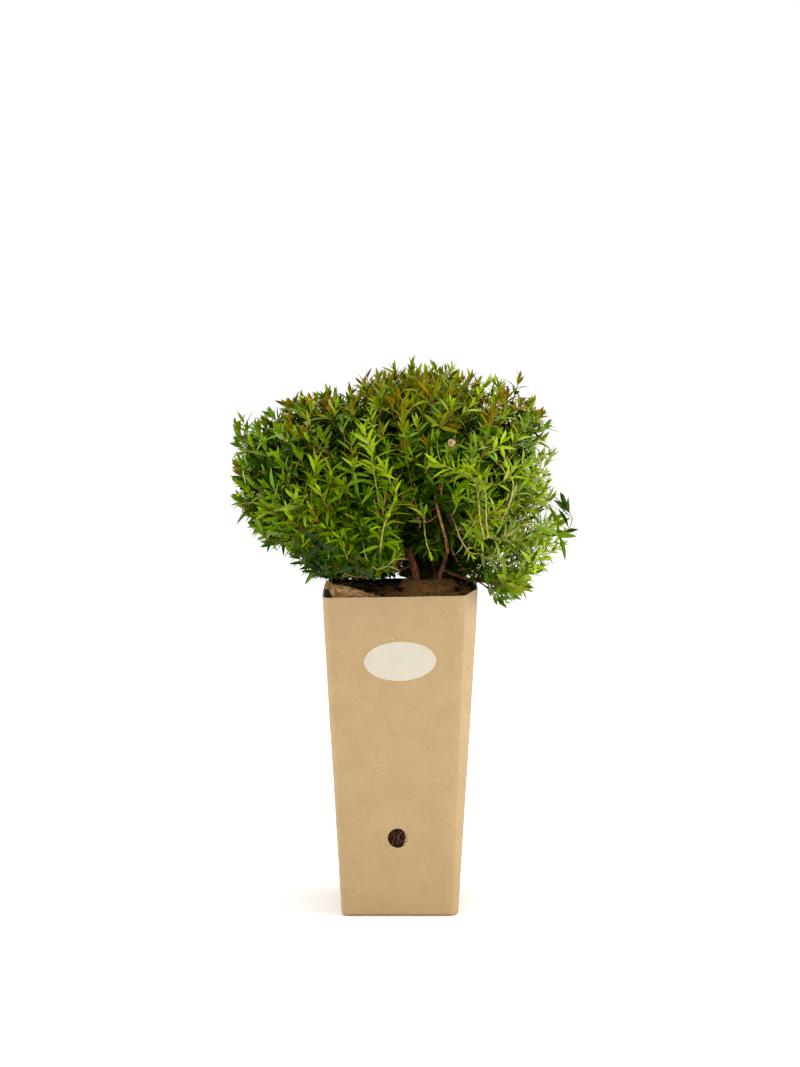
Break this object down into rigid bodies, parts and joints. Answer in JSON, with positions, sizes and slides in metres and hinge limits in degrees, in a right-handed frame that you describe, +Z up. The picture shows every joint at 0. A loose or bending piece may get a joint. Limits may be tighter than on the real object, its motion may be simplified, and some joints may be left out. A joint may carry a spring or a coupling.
{
  "type": "potted shrub",
  "caption": "Small dense evergreen shrub with narrow leaves on branching stems, in a tall tapering card pot with a drainage hole and a bare oval label.",
  "frame": {"origin": "middle of the pot's flat underside", "axes": "+Z up along the pot's height; -Y is the front, the side with the label and the drainage hole; +X to the right seen from the front"},
  "size_m": [0.311, 0.2848, 0.5128],
  "materials": {
    "card": "matte",
    "liner": "satin",
    "compost": "matte",
    "coir": "matte",
    "label": "matte",
    "bark": "matte",
    "leaves": "satin"
  },
  "bodies": {
    "root": {"card_pot": "card", "liner": "liner", "root_ball": "compost", "coir_mat": "coir", "label": "label", "main_stem": "bark", "right_stem": "bark", "left_stem": "bark", "back_stem": "bark", "bough_top_middle": "bark", "bough_top_front": "bark", "bough_top_left": "bark", "bough_front_left": "bark", "bough_low_front": "bark", "bough_front_right": "bark", "bough_top_right": "bark", "bough_right": "bark", "bough_low_right": "bark", "bough_left": "bark", "bough_low_left": "bark", "bough_back_left": "bark", "bough_top_back": "bark", "bough_back_right": "bark", "bough_low_back": "bark", "foliage_top_middle": "leaves", "foliage_top_front": "leaves", "foliage_top_left": "leaves", "foliage_front_left": "leaves", "foliage_low_front": "leaves", "foliage_front_right": "leaves", "foliage_top_right": "leaves", "foliage_right": "leaves", "foliage_low_right": "leaves", "foliage_left": "leaves", "foliage_low_left": "leaves", "foliage_back_left": "leaves", "foliage_top_back": "leaves", "foliage_back_right": "leaves", "foliage_low_back": "leaves"}
  },
  "joints": []
}
